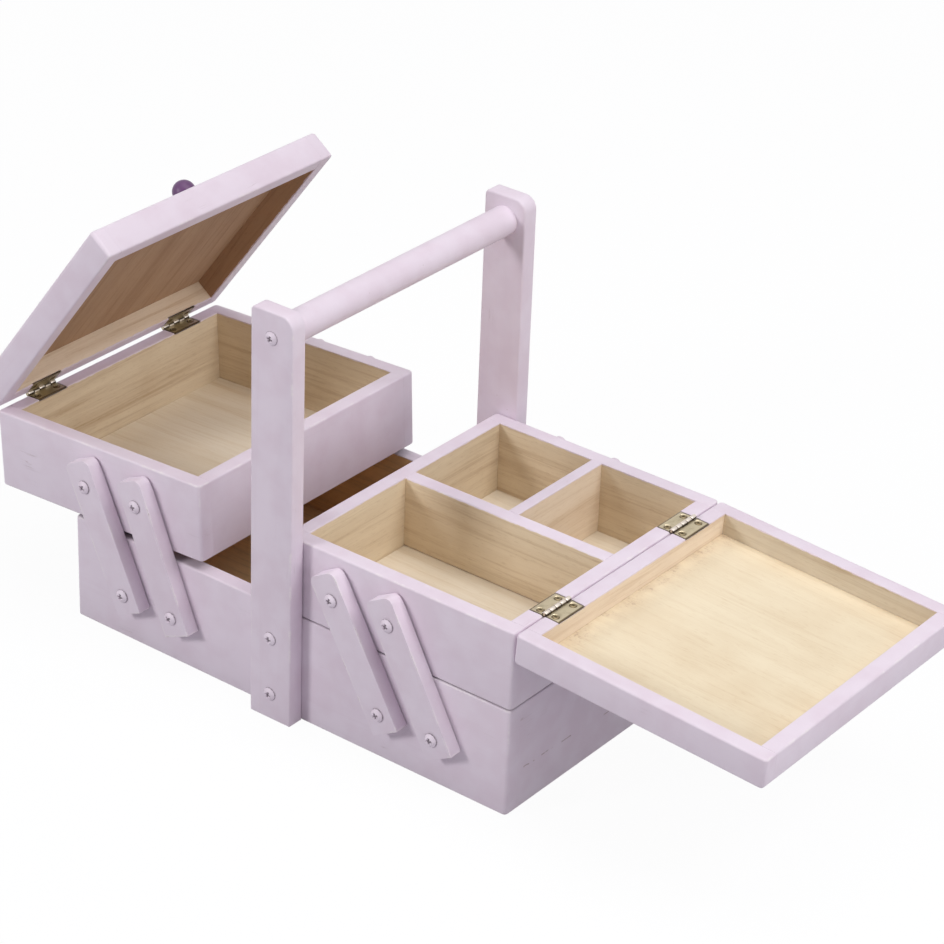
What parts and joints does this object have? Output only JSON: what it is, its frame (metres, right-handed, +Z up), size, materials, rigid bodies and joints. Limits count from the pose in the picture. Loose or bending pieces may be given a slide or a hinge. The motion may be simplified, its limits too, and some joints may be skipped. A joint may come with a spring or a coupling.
{
  "type": "sewing carrier",
  "caption": "Wooden cantilever sewing carrier: a base box with a fixed bar handle, and lidded trays that swing out to the sides on link arms.",
  "frame": {"origin": "middle of the underside of the base box", "axes": "+X along the length towards the tray with dividers, +Y towards the back, +Z up"},
  "size_m": [0.4349, 0.1708, 0.2],
  "materials": {
    "painted_wood": "matt lavender paint over wood",
    "bare_ply": "unfinished pale plywood",
    "painted_screws": "round-head steel screws painted over",
    "hinge_metal": "dull nickel plate",
    "knob_paint": "dark purple satin paint over a turned wooden ball"
  },
  "bodies": {
    "base": {"base_front": "painted_wood", "base_rear": "painted_wood", "base_left_end": "painted_wood", "base_right_end": "painted_wood", "base_floor": "bare_ply", "upright_front": "painted_wood", "upright_rear": "painted_wood", "handle_bar": "painted_wood", "handle_screws": "painted_screws", "base_pivot_screws": "painted_screws"},
    "left_outer_arms": {"left_outer_arm_front": "painted_wood", "left_outer_arm_rear": "painted_wood"},
    "left_inner_arms": {"left_inner_arm_front": "painted_wood", "left_inner_arm_rear": "painted_wood"},
    "left_tray": {"left_tray_front": "painted_wood", "left_tray_rear": "painted_wood", "left_tray_inner_end": "painted_wood", "left_tray_outer_end": "painted_wood", "left_tray_floor": "bare_ply", "left_tray_pivot_screws": "painted_screws", "left_hinge_tray_leaves": "hinge_metal", "left_hinge_tray_screws": "hinge_metal", "left_hinge_pins": "hinge_metal"},
    "left_lid": {"left_lid_front": "painted_wood", "left_lid_rear": "painted_wood", "left_lid_hinge_end": "painted_wood", "left_lid_free_end": "painted_wood", "left_lid_panel": "bare_ply", "left_lid_knob": "knob_paint", "left_hinge_lid_leaves": "hinge_metal", "left_hinge_lid_screws": "hinge_metal"},
    "right_outer_arms": {"right_outer_arm_front": "painted_wood", "right_outer_arm_rear": "painted_wood"},
    "right_inner_arms": {"right_inner_arm_front": "painted_wood", "right_inner_arm_rear": "painted_wood"},
    "right_tray": {"right_tray_front": "painted_wood", "right_tray_rear": "painted_wood", "right_tray_inner_end": "painted_wood", "right_tray_outer_end": "painted_wood", "right_tray_floor": "bare_ply", "right_tray_long_divider": "painted_wood", "right_tray_cross_divider": "painted_wood", "right_tray_pivot_screws": "painted_screws", "right_hinge_tray_leaves": "hinge_metal", "right_hinge_tray_screws": "hinge_metal", "right_hinge_pins": "hinge_metal"},
    "right_lid": {"right_lid_front": "painted_wood", "right_lid_rear": "painted_wood", "right_lid_hinge_end": "painted_wood", "right_lid_free_end": "painted_wood", "right_lid_panel": "bare_ply", "right_lid_knob": "knob_paint", "right_hinge_lid_leaves": "hinge_metal", "right_hinge_lid_screws": "hinge_metal"}
  },
  "joints": [
    {"name": "left_tray_swing", "type": "hinge", "parent": "base", "child": "left_outer_arms", "pos_m": [-0.0895, 0, 0.027], "axis": [0, -1, 0], "range_deg": [-53.59, 0]},
    {"name": "left_inner_arm_turn", "type": "hinge", "parent": "base", "child": "left_inner_arms", "pos_m": [-0.06, 0, 0.027], "axis": [0, -1, 0], "range_deg": [-52.95, 0]},
    {"name": "left_tray_tilt", "type": "hinge", "parent": "left_outer_arms", "child": "left_tray", "pos_m": [-0.11193, 0, 0.0751], "axis": [0, -1, 0], "range_deg": [0, 50.93]},
    {"name": "right_tray_swing", "type": "hinge", "parent": "base", "child": "right_outer_arms", "pos_m": [0.0895, 0, 0.027], "axis": [0, 1, 0], "range_deg": [0, 53.59]},
    {"name": "right_inner_arm_turn", "type": "hinge", "parent": "base", "child": "right_inner_arms", "pos_m": [0.06, 0, 0.027], "axis": [0, 1, 0], "range_deg": [0, 52.95]},
    {"name": "right_tray_tilt", "type": "hinge", "parent": "right_outer_arms", "child": "right_tray", "pos_m": [0.0641, 0, 0.0736], "axis": [0, 1, 0], "range_deg": [-50.93, 0]},
    {"name": "left_lid_hinge", "type": "hinge", "parent": "left_tray", "child": "left_lid", "pos_m": [-0.17399, 0, 0.0898], "axis": [0, -1, 0], "range_deg": [-50.8, 132.71]},
    {"name": "right_lid_hinge", "type": "hinge", "parent": "right_tray", "child": "right_lid", "pos_m": [0.1254, 0, 0.0912], "axis": [0, 1, 0], "range_deg": [-183.51, 0]}
  ],
  "couplings": [
    {"joint": "left_inner_arm_turn", "follows": "left_tray_swing", "ratio": 0.98755},
    {"joint": "left_tray_tilt", "follows": "left_tray_swing", "ratio": -0.94981},
    {"joint": "right_inner_arm_turn", "follows": "right_tray_swing", "ratio": 0.98755},
    {"joint": "right_tray_tilt", "follows": "right_tray_swing", "ratio": -0.94981}
  ]
}
